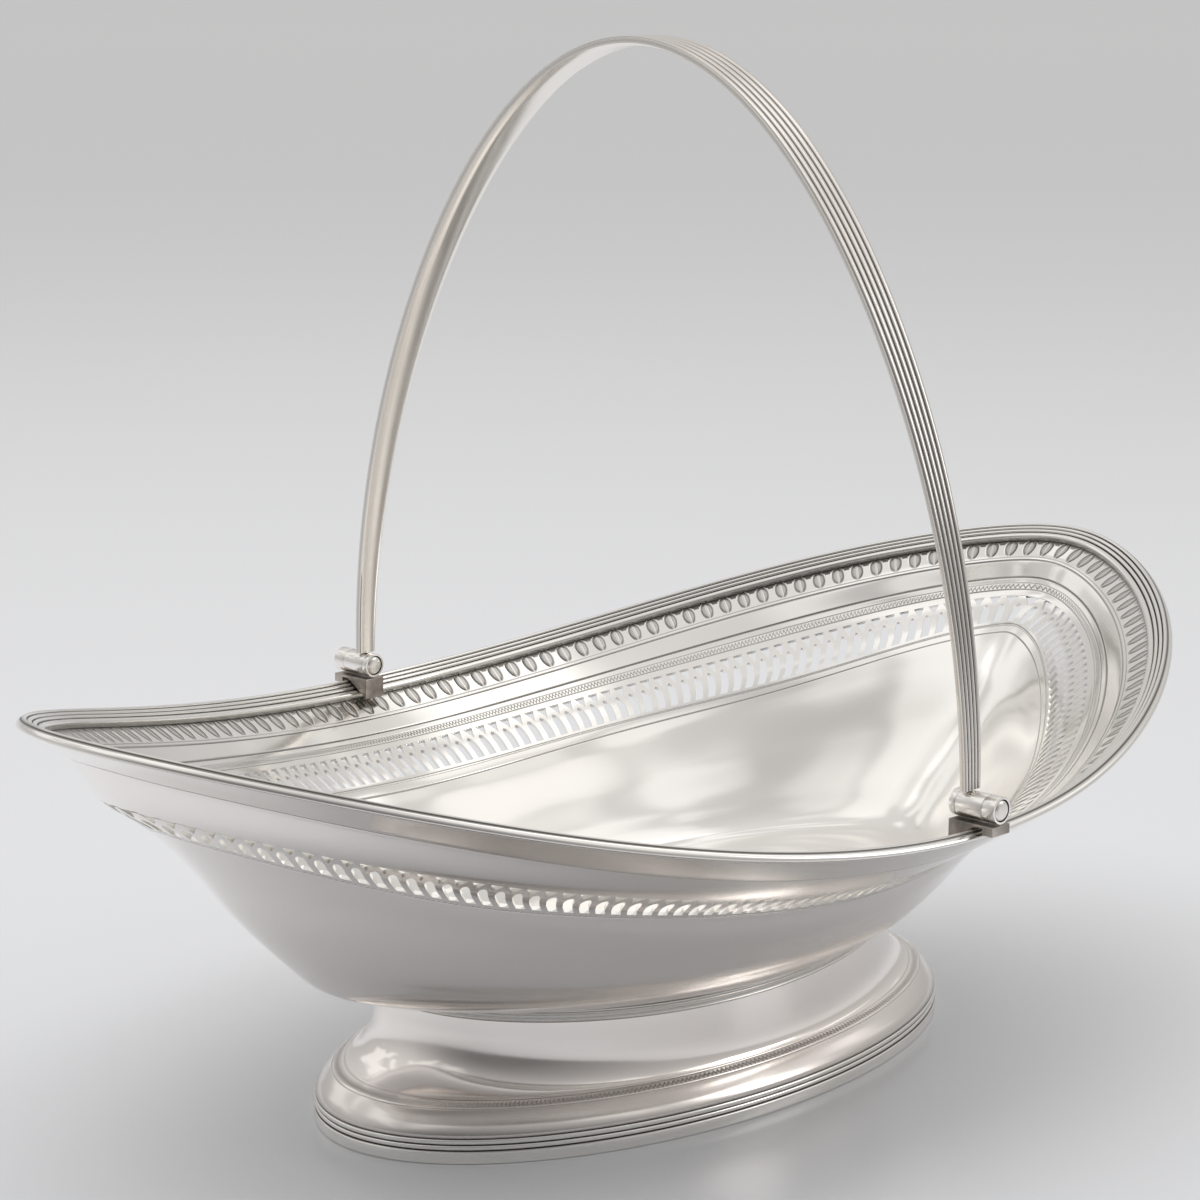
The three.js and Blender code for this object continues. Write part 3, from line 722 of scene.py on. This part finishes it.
def bowl_arrays():
    """All points, faces, levels and normals of the bowl as arrays."""
    rows = len(floor_shares) + len(lower_rows) + len(upper_rows)
    grid = rows * COLUMNS
    band_foot = len(floor_shares) + len(lower_rows) - 1
    inner, inner_normal, inner_level = skin(0.0)
    outer, outer_normal, _ = skin(SHEET)
    cell_in, cell_in_normal, cell_coords, own = cell_skin(0.0)
    cell_out, cell_out_normal, _, _ = cell_skin(SHEET)
    # from row 6.3 to row 7 the share of the way round changes from the band's to the lip's
    row_of = np.concatenate([0 * floor_shares, lower_rows, upper_rows])
    to_lip = np.clip((row_of - 6.3) / 0.7, 0, 1)[:, None]
    around = turn_share + (lip_share() - turn_share) * to_lip
    coords = np.stack([around.ravel(), inner_level], -1)
    height = FOOT_HEIGHT + SHEET
    poles = np.array([[0.0, 0.0, height], [0.0, 0.0, height - SHEET]])
    points = np.concatenate([inner, cell_in, outer, cell_out, poles])
    normals = np.concatenate(
        [-inner_normal, -cell_in_normal, outer_normal, cell_out_normal, [[0, 0, 1], [0, 0, -1]]]
    )
    pole_coords = [[0.5, FLOOR_LEVEL], [0.5, FLOOR_LEVEL]]
    all_coords = np.concatenate([coords, cell_coords, coords, cell_coords, pole_coords])
    quads = ring_quads(rows, COLUMNS, False).reshape(rows - 1, COLUMNS, 4)
    quads = np.delete(quads, band_foot, axis=0).reshape(-1, 4)

    # each cell's points by number: those of the grid, those of its two sides, and its own
    k = COLUMNS_PER_SLOT + 1
    cell = np.arange(SLOTS)[:, None]
    column = (cell * COLUMNS_PER_SLOT + np.arange(k)[None]) % COLUMNS
    foot = band_foot * COLUMNS + column
    head = (band_foot + 1) * COLUMNS + column
    mine = grid + cell * own
    after = grid + ((cell + 1) % SLOTS) * own
    left, right = mine + np.arange(3)[None], after + np.arange(3)[None]
    rest = mine + 3 + np.arange(own - 3)[None]
    numbers = np.concatenate([foot, head, left, right, rest], axis=1)
    band = numbers[:, cell_triangles].reshape(-1, 3)
    shift = grid + SLOTS * own  # from a point of the inner skin to its fellow outside
    wall_from, wall_to = numbers[:, cell_walls[:, 0]], numbers[:, cell_walls[:, 1]]
    openings = np.stack([wall_from, wall_to, wall_to + shift, wall_from + shift], -1).reshape(-1, 4)

    first = np.arange(COLUMNS)
    second = (first + 1) % COLUMNS
    last, following = (rows - 1) * COLUMNS + first, (rows - 1) * COLUMNS + second
    rim = np.stack([last + shift, following + shift, following, last], -1)
    top_pole, low_pole = len(points) - 2, len(points) - 1
    centre_in = np.stack([first, second, np.full(COLUMNS, top_pole)], -1)
    centre_out = np.stack([second, first, np.full(COLUMNS, low_pole)], -1) + [shift, shift, 0]
    # material 0 is the inner silver, 1 the outer
    faces_quads = [
        (quads[:, ::-1], 0),
        (quads + shift, 1),
        (openings[:, ::-1], FLAT_KIND),
        (rim, FLAT_KIND),
    ]
    faces_triangles = [
        (band[:, ::-1], 0),
        (band + shift, 1),
        (centre_in, 0),
        (centre_out, 1),
    ]
    return points, faces_quads, faces_triangles, all_coords, normals


points, quads, triangles, coords, normals = bowl_arrays()
make_piece(
    "bowl_sheet", points, quads, triangles, coords, normals,
    [silver_inside, silver_outside, silver_edge], "basket", ["bowl"],
)

# %% [markdown]
# ## Reeded mouldings, foot and collar
#
# Each of these is one closed outline swept round a plan curve. The outline of a reeded piece
# is a row of half-round reeds, and its level coordinate holds how deep in a groove each point
# is, so that the tarnish follows the form.

# %% Reeds
def reeds(edges, crest, depth, points_each=9):
    """A row of reeds between edges: (position, height, groove depth 0 to 1) per point.

    In a reed of half width w about c, height = crest - depth (1 - sqrt(1 - ((x - c) / w)^2)).
    """
    rows = []
    for low, high in zip(edges[:-1], edges[1:]):
        x = np.cos(np.linspace(math.pi, 0, points_each))
        across = low + (high - low) * (x + 1) / 2
        round_share = np.sqrt(np.maximum(1 - x**2, 0))
        rows.append(np.stack([across, crest - depth * (1 - round_share), (1 - round_share) ** 2], -1))
    return np.concatenate(rows)


def closed_ring(name, section, columns, place_at, materials, body, nodes):
    """Sweeps a closed outline round the turn.

    Each row of the section holds the numbers that place_at needs after the angle, and last the
    level. The section runs anticlockwise in (outward, up).
    """
    t = np.linspace(0, 2 * math.pi, columns, endpoint=False)
    count = len(section)
    t_all = np.tile(t, count)
    *where, number = (np.repeat(column, columns) for column in section.T)
    points = place_at(t_all, *where)
    coords = np.stack([t_all / (2 * math.pi), number], -1)
    quads = ring_quads(count, columns, True)
    piece = make_piece(name, points, [(quads, 0)], [], coords, None, materials, body, nodes)
    smooth(piece, 38)


def lip_place(t, x, y):
    """x is the distance up the lip from its root, y the height over the lip's face."""
    inward = LIP_RUN * (1 - x / LIP_LENGTH) + y * LIP_DROP / LIP_LENGTH
    down = LIP_DROP * (1 - x / LIP_LENGTH) - y * LIP_RUN / LIP_LENGTH
    return step_in(t, inward, down)


def smooth_through(points, count):
    """A Catmull-Rom curve through rows of points, count steps to each span."""
    ends = np.concatenate([2 * points[:1] - points[1:2], points, 2 * points[-1:] - points[-2:-1]])
    p0, p1, p2, p3 = (ends[i : len(ends) - 3 + i, None] for i in range(4))
    f = np.linspace(0, 1, count, endpoint=False)[None, :, None]
    third = 3 * (p1 - p2) + p3 - p0
    second = 2 * p0 - 5 * p1 + 4 * p2 - p3
    cubic = p1 + 0.5 * f * (p2 - p0 + f * (second + f * third))
    return np.concatenate([cubic.reshape(-1, points.shape[1]), points[-1:]])


# %% Rim moulding
# The under side first: across the lip's face, over the sheet's edge and back up. The upper
# side is four reeds, the first of them wide and falling deeper on its inner half.
# the wire's inner face, where it stands on the lip, is painted half dark: painted shade
UNDER_SIDE, INNER_FACE_PAINTED_SHADE = 0.12, 0.5
start = LIP_LENGTH - MOULDING_WIDTH
reed_edges = start + MOULDING_WIDTH * np.array([0.0, 0.36, 0.58, 0.8, 1.0])
upper = reeds(reed_edges, MOULDING_HEIGHT, 0.75)
inner_half = upper[:, 0] < start + 0.18 * MOULDING_WIDTH
upper[inner_half, 1] = MOULDING_HEIGHT - (MOULDING_HEIGHT - upper[inner_half, 1]) * 1.9
under = np.array(
    [
        [start, UNDER_SIDE, INNER_FACE_PAINTED_SHADE],
        [LIP_LENGTH + 0.02, UNDER_SIDE, 0.0],
        [LIP_LENGTH + 0.02, -0.9, 0.0],
        [LIP_LENGTH + 0.22, -1.0, 0.0],
        [LIP_LENGTH + 0.4, -0.7, 0.0],
        [LIP_LENGTH + 0.45, -0.2, 0.0],
        [LIP_LENGTH + 0.3, 0.5, 0.0],
    ]
)
moulding_section = np.concatenate([under, upper[::-1]])
# painted shade on the wire's inner face and its foot on the lip
moulding_section[moulding_section[:, 0] < start + 0.05, 2] = INNER_FACE_PAINTED_SHADE
closed_ring(
    "rim_reeds", moulding_section, 720, lip_place, [silver_reeds],
    "basket", ["rim_moulding"],
)

# %% Foot ring
# Sections of the foot are rows (share, inset, height, rise, level), as foot_point takes them.
# Over a plain edge stand two reeds between three drawn lines.
RING_DEPTH, PLAIN_OVER_BAND, TWO_REEDS = 3.2, 0.9, 2.9
reed_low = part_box("foot_band")[1].z / MM + PLAIN_OVER_BAND
reed_high = reed_low + TWO_REEDS
band_section = np.array(
    [
        [0, 0.4, 0.0, 0, 0],
        [0, 0.1, 0.15, 0, 0],
        [0, 0.0, 0.5, 0, 0],
        [0, 0.0, reed_low - 0.4, 0, 0],
        [0, 0.12, reed_low - 0.05, 0, 0.7],
        [0, 0.5, reed_low + 0.05, 0, 1],
        [0, RING_DEPTH, reed_low + 0.05, 0, 1],
        [0, RING_DEPTH, 0.0, 0, 0],
    ]
)
closed_ring(
    "foot_plain_band", band_section, 360, foot_point, [silver_reeds],
    "basket", ["foot_band"],
)

height, proud, groove = reeds(np.linspace(reed_low, reed_high, 3), 0.5, 0.5).T
reed_section = np.stack([0 * height, 0.55 - proud, height, 0 * height, groove], -1)
back = [[0, RING_DEPTH, reed_high, 0, 1], [0, RING_DEPTH, reed_low, 0, 1]]
closed_ring(
    "foot_reeds", np.concatenate([reed_section, back]), 360, foot_point, [silver_reeds],
    "basket", ["foot_moulding"],
)

# %% Spool and collar
COLLAR_HEIGHT = 3.3
collar_high = FOOT_HEIGHT - 0.2
collar_low = collar_high - COLLAR_HEIGHT
spool_low, spool_high = reed_high + 0.05, collar_low - 0.1
# share of the way to the neck, extra inset, height share: a flange all round, then the hollow
SPOOL = np.array(
    [
        [0, 0.35, 0], [0, 0.55, 0.045], [0, 1.3, 0.1], [0, 2.4, 0.155], [0, 3.6, 0.207],
        [0, 4.9, 0.252], [0.05, 5.5, 0.275], [0.28, 5.0, 0.325], [0.58, 3.1, 0.42],
        [0.84, 1.2, 0.57], [0.96, 0.3, 0.77], [1, 0, 1],
    ]
)
MEAN_NECK_INSET = 13.5
INSIDE_LEVEL = 5  # where foot_grooves_and_shade draws nothing
share, inset, up = smooth_through(SPOOL, 6).T
height = spool_low + (spool_high - spool_low) * up
step = np.stack([np.gradient(share * MEAN_NECK_INSET + inset), np.gradient(height)], -1)
step /= np.linalg.norm(step, axis=1, keepdims=True)
outside = np.stack([share, inset, height, up, 10 * up], -1)
inside = np.stack(
    [share, inset + step[:, 1] * SHEET, height - step[:, 0] * SHEET, up, INSIDE_LEVEL + 0 * up], -1
)
inside = inside[inside[:, 2] > spool_low + 0.05]
foot_row = [[inside[0, 0], inside[0, 1] - 0.1, spool_low, 0, INSIDE_LEVEL]]
inside[-1, 2] = spool_high
closed_ring(
    "foot_spool_sheet", np.concatenate([outside, inside[::-1], foot_row]), 480, foot_point,
    [silver_foot], "basket", ["foot_spool"],
)

# how far it stands out, height over its foot, groove depth
COLLAR = np.array(
    [
        [0.25, 0.0, 1], [0.42, 0.15, 0.3], [0.5, 0.4, 0], [0.42, 0.65, 0.2], [0.3, 0.85, 0.5],
        [0.32, 1.3, 0], [0.5, 1.8, 0], [0.8, 2.3, 0], [1.02, 2.6, 0.4], [1.15, 2.75, 0],
        [1.2, 2.95, 0], [1.15, 3.15, 0.4], [1.0, COLLAR_HEIGHT, 1],
    ]
)
proud, height, groove = COLLAR.T
one = np.ones(len(COLLAR))
collar_section = np.stack([one, -proud, collar_low + height, one, groove], -1)
back = [[1, COLLAR_PROUD, collar_high, 1, 0], [1, COLLAR_PROUD, collar_low, 1, 0]]
closed_ring(
    "foot_collar_ring", np.concatenate([collar_section, back]), 480, foot_point, [silver_foot_trim],
    "basket", ["foot_collar"],
)

# %% [markdown]
# ## The handle
#
# The strap is a drawn bar, reeded on its outer face and bent to an arch. It could be bent from
# a straight bar by a curve modifier; a sweep by formula lets its width follow the turn. It has
# the same arch as the CAD part, and its ends are closed with a fan from their middle.

# %% Handle bow
LEG, RISE = 103.15, 169.4
STRAP_AT_CROWN, STRAP_AT_HINGE, STRAP_THICK = 11.7, 5.4, 2.5


def arch(turn):
    """The strap's middle line: (0, -leg cos t, hinge + rise sin t (1 - 0.12 cos^2 t))."""
    rise = RISE * np.sin(turn) * (1 - 0.12 * np.cos(turn) ** 2)
    return np.stack([np.zeros(len(turn)), -LEG * np.cos(turn), HINGE_HEIGHT + rise], -1)


def strap_rows():
    """The strap's outline across (-1 to 1) and out of its face, with the groove depth."""
    row = reeds(np.linspace(-1, 1, 6), STRAP_THICK / 2, 0.42, 8)
    under = np.array(
        [
            [-1.0, 0.35, 0.2], [-0.97, -0.45, 0], [-0.8, -1.0, 0], [-0.5, -1.22, 0], [0.0, -1.25, 0],
            [0.5, -1.22, 0], [0.8, -1.0, 0], [0.97, -0.45, 0], [1.0, 0.35, 0.2],
        ]
    )
    row[0, 2] = row[-1, 2] = 0.0
    return np.concatenate([under, row[::-1]])


def handle_arrays():
    """Points, faces and levels of the strap, from one hinge barrel over to the other.

    A point is middle + side * half width * across + out * rise of the face, where side is the
    X axis and out is side x the arch's direction.
    """
    # the strap begins where the arch comes out of the barrel
    first = math.asin((BARREL_RADIUS + 0.15) / (RISE * 0.88))
    turn = np.linspace(first, math.pi - first, 241)
    middle = arch(turn)
    along = arch(turn + 1e-3) - arch(turn - 1e-3)
    along /= np.linalg.norm(along, axis=1, keepdims=True)
    side = np.tile([[1.0, 0.0, 0.0]], (len(turn), 1))
    out = np.cross(side, along)
    rows = strap_rows()
    half = (STRAP_AT_HINGE + (STRAP_AT_CROWN - STRAP_AT_HINGE) * np.sin(turn)) / 2
    count = len(rows)
    across = half[:, None] * rows[:, 0][None]
    grid = middle[:, None] + side[:, None] * across[..., None]
    grid = grid + out[:, None] * rows[:, 1][None, :, None]
    points = np.concatenate([grid.reshape(-1, 3), middle[[0, -1]]])
    share = np.repeat(np.linspace(0.1, 0.9, len(turn)), count)
    coords = np.stack([share, np.tile(rows[:, 2], len(turn))], -1)
    coords = np.concatenate([coords, [[0.1, 0], [0.9, 0]]])
    i = np.arange(len(turn) - 1)[:, None] * count
    k = np.arange(count)[None]
    k1 = (k + 1) % count
    quads = np.stack([i + k, i + count + k, i + count + k1, i + k1], -1).reshape(-1, 4)
    this, following = k[0], k1[0]
    ends = (len(turn) - 1) * count
    near = np.stack([this, following, np.full(count, len(points) - 2)], -1)
    far = np.stack([ends + following, ends + this, np.full(count, len(points) - 1)], -1)
    return points, [(quads, 0)], [(near, 0), (far, 0)], coords


points, quads, triangles, coords = handle_arrays()
handle = make_piece(
    "handle_strap", points, quads, triangles, coords, None, [silver_handle],
    "handle", ["handle_bow"],
)
smooth(handle, 38)

# %% [markdown]
# ## Hinges
#
# Each hinge is a pin through three short tubes, on a block that is soldered to the rim. The
# tubes and pins are turned shapes about the hinge line. Their outlines have small rounded
# corners, which is what catches the light on real metal. The blocks keep the CAD's own shape.

# %% Knuckles, pins and saddles
def turned(name, outline, side, material, body, node):
    """Turns an outline of (radius, distance from the long axis, level) about the hinge line.

    Points: (r sin a, side * y, hinge + r cos a).
    """
    outline = np.array(outline)
    columns = 64
    a = np.tile(np.linspace(0, 2 * math.pi, columns, endpoint=False), len(outline))
    r, y, number = (np.repeat(column, columns) for column in outline.T)
    points = np.stack([r * np.sin(a), side * y, HINGE_HEIGHT + r * np.cos(a)], -1)
    coords = np.stack([a / (2 * math.pi), number], -1)
    quads = ring_quads(len(outline), columns, True)
    if side > 0:
        quads = quads[:, ::-1]
    piece = make_piece(name, points, [(quads, 0)], [], coords, None, [material], body, [node])
    smooth(piece, 40)


def tube_outline(low, high):
    """A tube of the barrel's radius with its outer corners rounded."""
    edge = BARREL_RADIUS - ROUNDING
    corner, third = BARREL_RADIUS - ROUNDING * 0.3, ROUNDING * 0.3
    return [
        (BORE, low, 1.0), (edge, low, 0.4), (corner, low + third, 0.1),
        (BARREL_RADIUS, low + ROUNDING, 0.0), (BARREL_RADIUS, high - ROUNDING, 0.0),
        (corner, high - third, 0.1), (edge, high, 0.4), (BORE, high, 1.0),
    ]


def pin_outline(low, high):
    """A pin with a slightly domed head at both ends."""
    dome, corner = PIN_RADIUS * 0.6, PIN_RADIUS - 0.3
    return [
        (0.02, low, 0.0), (dome, low + 0.05, 0.0), (corner, low + 0.18, 0.0),
        (PIN_RADIUS, low + 0.5, 0.3), (PIN_RADIUS, high - 0.5, 0.3),
        (corner, high - 0.18, 0.0), (dome, high - 0.05, 0.0), (0.02, high, 0.0),
    ]


def saddle_block(node):
    """The block on the rim: the CAD node's own shape, merged, with its edges rounded."""
    block = bpy.data.objects.new(f"{node}_block", frame["nodes"][node].data.copy())
    bpy.context.scene.collection.objects.link(block)
    shape = bmesh.new()
    shape.from_mesh(block.data)
    bmesh.ops.remove_doubles(shape, verts=shape.verts, dist=1e-6)
    bmesh.ops.dissolve_limit(shape, angle_limit=0.01, verts=shape.verts, edges=shape.edges)
    shape.to_mesh(block.data)
    shape.free()
    block.data.materials.clear()
    # the block's material carries painted shade
    block.data.materials.append(silver_block_painted_shade)
    bevel = block.modifiers.new("edges", "BEVEL")
    bevel.width = 0.18 * MM
    bevel.segments = 2
    bevel.limit_method = "ANGLE"
    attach(block, "basket")
    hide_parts(node)


ROUNDING, BORE, PIN_RADIUS = 0.1, 2.65, 2.35
KNUCKLES = {"hinge_inner_knuckle": "basket", "handle_knuckle": "handle", "hinge_outer_knuckle": "basket"}

for where, side in (("front", -1), ("back", 1)):
    for part in (*KNUCKLES, "hinge_pin"):
        node = f"{part}_{where}"
        near, far = sorted(abs(corner.y / MM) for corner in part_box(node))
        if part == "hinge_pin":
            turned(f"{node}_turned", pin_outline(near, far), side, silver_pin,
                   "basket", node)
        else:
            # a little longer than the CAD's tubes, whose gaps are wider than real ones
            turned(f"{node}_turned", tube_outline(near - 0.1, far + 0.1), side, silver_plain,
                   KNUCKLES[part], node)
    saddle_block(f"hinge_saddle_{where}")

# %% [markdown]
# ## Table, room and light
#
# Polished silver has no colour of its own: it shows the room. The room here is a light tent,
# drawn in the world shader: dim low down and behind the camera, brighter overhead, with a few
# soft patches where the photographed silver is brightest. A wide pale table fills the lower
# half of every reflection. The camera itself sees a plain pale grey above the table's edge.

# %% Table
def table_material():
    """Pale satin board: it mirrors the basket a little, close to its foot."""
    material = bpy.data.materials.new("table_grey")
    material.use_nodes = True
    shader = material.node_tree.nodes["Principled BSDF"]
    shader.inputs["Base Color"].default_value = (0.76, 0.775, 0.8, 1)
    shader.inputs["Roughness"].default_value = 0.24
    shader.inputs["Specular IOR Level"].default_value = 0.35
    return material


bpy.ops.mesh.primitive_plane_add(size=60.0, location=(0.0, 0.0, 0.0))
table = bpy.context.object
table.name = "table"
table.data.materials.append(table_material())


# %% Light
def panel(name, place, aim, width, height, power):
    """A soft rectangular panel at a place, turned to aim at a point."""
    light = bpy.data.lights.new(name, "AREA")
    light.shape = "RECTANGLE"
    light.size, light.size_y = width, height
    light.energy = power
    lamp = bpy.data.objects.new(name, light)
    lamp.location = place
    lamp.rotation_euler = (Vector(aim) - Vector(place)).to_track_quat("-Z", "Y").to_euler()
    bpy.context.scene.collection.objects.link(lamp)
    return lamp


# the upper panel lights the table; the tent stands for it in the silver's reflections
upper_panel = panel("light_top", (0.0, 0.3, 1.5), (0, 0, 0.05), 1.7, 1.7, 10.0)
upper_panel.visible_glossy = False
panel("light_side", (1.1, -1.2, 0.9), (0, 0, 0.08), 0.5, 0.8, 2.0)

# %% Room
DIM_SIDE = (-0.72, -0.69, 0.0)  # towards the camera
FOLD_DEPTH = 0.55
# soft bright patches of the tent: direction, radius in degrees, added strength
PATCHES = (
    ((0.53, -0.36, 0.77), 27, 0.36),
    ((0.6, 0.07, 0.8), 19, 0.36),
    ((-0.42, 0.08, 0.9), 30, 0.32),
    ((-0.05, 0.84, 0.54), 14, 0.3),
)
WARM_LIGHT = (1.0, 0.982, 0.965)
SEEN_GREY = (0.6, 0.605, 0.615, 1)


def vector_maths(tree, operation, *values):
    """The result of a Vector Math node; values are sockets, wires or triples."""
    node = tree.nodes.new("ShaderNodeVectorMath")
    node.operation = operation
    for entry, value in zip(node.inputs, values):
        plug(tree, entry, value)
    return node.outputs["Value" if operation == "DOT_PRODUCT" else "Vector"]


def tent_light(tree, direction):
    """Strength of the light by direction, from the height, the side, and the soft patches.

    The direction is bent a little by noise before it meets the patches, as if the cloth that
    they fall on hung in folds.
    """
    upwards = Wire(tree, new_node(tree, "ShaderNodeSeparateXYZ", Vector=direction).outputs[2])
    towards = Wire(tree, vector_maths(tree, "DOT_PRODUCT", direction, DIM_SIDE))
    by_height = [(-1.0, 0.28), (0.0, 0.5), (0.3, 0.6), (0.55, 0.66), (0.8, 0.73), (1.0, 0.76)]
    by_side = [(-1.0, 1.0), (-0.1, 1.0), (0.25, 0.9), (0.55, 0.7), (0.95, 0.3)]
    light = ramp(upwards, -1.0, 1.0, by_height) * ramp(towards, -1.0, 1.0, by_side)
    cloth = new_node(tree, "ShaderNodeTexNoise", Vector=direction, Scale=2.2, Detail=1.5, Distortion=1.2)
    deep, back = (FOLD_DEPTH,) * 3, (-FOLD_DEPTH / 2,) * 3
    folds = vector_maths(tree, "MULTIPLY_ADD", cloth.outputs["Color"], deep, back)
    bent = vector_maths(tree, "ADD", direction, folds)
    for centre, radius, strength in PATCHES:
        near = Wire(tree, vector_maths(tree, "DOT_PRODUCT", bent, centre))
        edge, full = math.cos(math.radians(radius)), math.cos(math.radians(radius * 0.55))
        light = light + ramp(near, -1.5, 1.5, [(edge, 0.0), (full, strength)])
    return light


world = bpy.data.worlds.new("studio")
bpy.context.scene.world = world
world.use_nodes = True
tree = world.node_tree
tree.nodes.clear()
direction = new_node(tree, "ShaderNodeTexCoord").outputs["Generated"]
seen = new_node(tree, "ShaderNodeLightPath").outputs["Is Camera Ray"]
tent = vector_maths(tree, "MULTIPLY", tent_light(tree, direction), WARM_LIGHT)
sky = new_node(
    tree, "ShaderNodeBackground", Color=mix_colours(tree, seen, tent, SEEN_GREY), Strength=1.0
)
new_node(tree, "ShaderNodeOutputWorld", i0=sky.outputs[0])

# %% [markdown]
# ## The camera
#
# The photograph's camera was found by fitting the rim, the foot and the handle to it. Its focal
# length is kept in pixels of the square frame and its place in millimetres.

# %% Camera
FOCAL_PIXELS, FRAME_PIXELS, SENSOR = 3304.4, 1200, 36.0
CAMERA_PLACE = (-583.155, -552.191, 280.666)
CAMERA_RIGHT = Vector((0.69761, -0.71647, 0.00359))
CAMERA_UP = Vector((0.14057, 0.14178, 0.97987))
CAMERA_FORWARD = Vector((0.70255, 0.68306, -0.19962))

camera_data = bpy.data.cameras.new("camera")
camera_data.sensor_width = SENSOR
camera_data.lens = FOCAL_PIXELS / FRAME_PIXELS * SENSOR
camera_data.clip_start, camera_data.clip_end = 0.05, 30.0
camera = bpy.data.objects.new("camera", camera_data)
turn = Matrix((CAMERA_RIGHT, CAMERA_UP, -CAMERA_FORWARD)).transposed().to_4x4()
camera.matrix_world = Matrix.Translation(Vector(CAMERA_PLACE) * MM) @ turn
bpy.context.scene.collection.objects.link(camera)
bpy.context.scene.camera = camera
bpy.context.scene.view_settings.view_transform = "Standard"
